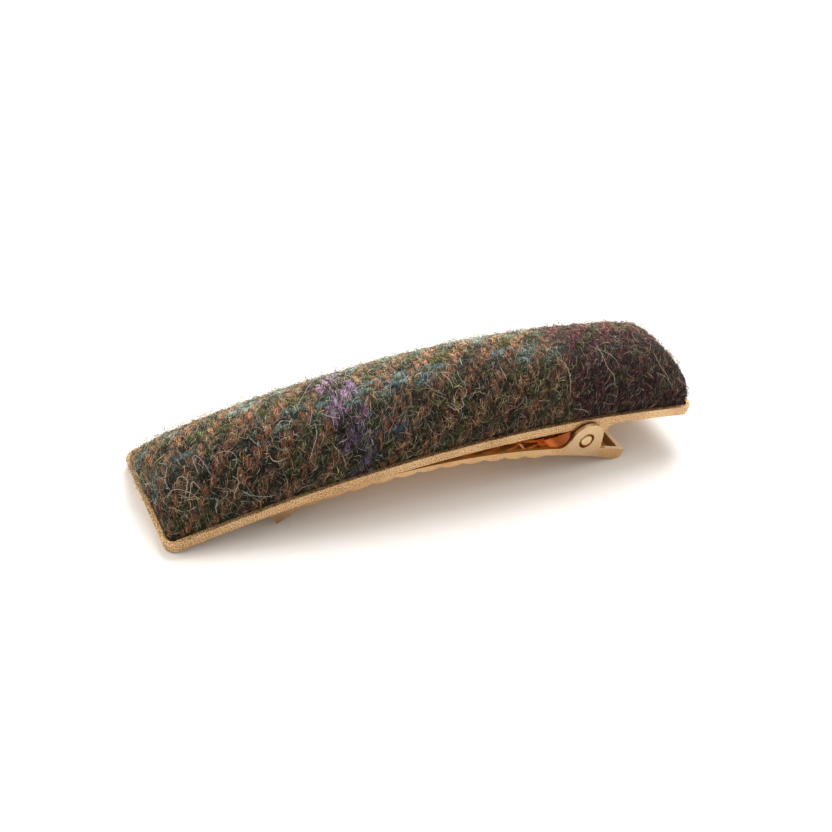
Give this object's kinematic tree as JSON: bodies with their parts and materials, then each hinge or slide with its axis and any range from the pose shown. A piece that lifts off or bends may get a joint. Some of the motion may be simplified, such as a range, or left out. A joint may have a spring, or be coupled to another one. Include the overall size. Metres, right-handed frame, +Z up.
{
  "type": "hair barrette",
  "caption": "Padded hair barrette: curved metal tray holding a domed tweed pad, with a toothed spring jaw hinged underneath.",
  "frame": {"origin": "middle of the clip's length and width, on the table it stands on with the tray's left end and the jaw's tail", "axes": "+X along the tray towards the hinge and the tail of the jaw, +Y across the tray, +Z up out of the padded top"},
  "size_m": [0.0798, 0.0194, 0.0148],
  "materials": {
    "tray_metal": "satin champagne gold plating, fine grain",
    "tweed": "hairy woollen tweed in dark green, rust and black, with teal and lilac stripes and loose light fibres",
    "jaw_metal": "satin gold plating, glossier inside the channel",
    "spring_metal": "glossy gold plating"
  },
  "bodies": {
    "clip_top": {"tray": "tray_metal", "tweed_pad": "tweed"},
    "jaw": {"lower_jaw": "jaw_metal", "leaf_spring": "spring_metal"}
  },
  "joints": [
    {"name": "jaw_hinge", "type": "hinge", "parent": "clip_top", "child": "jaw", "pos_m": [0.02058, 0, 0.0049], "axis": [0, -1, 0], "range_deg": [0, 28], "stiffness_Nm_per_rad": 0.1, "springref_deg": -51.57}
  ]
}
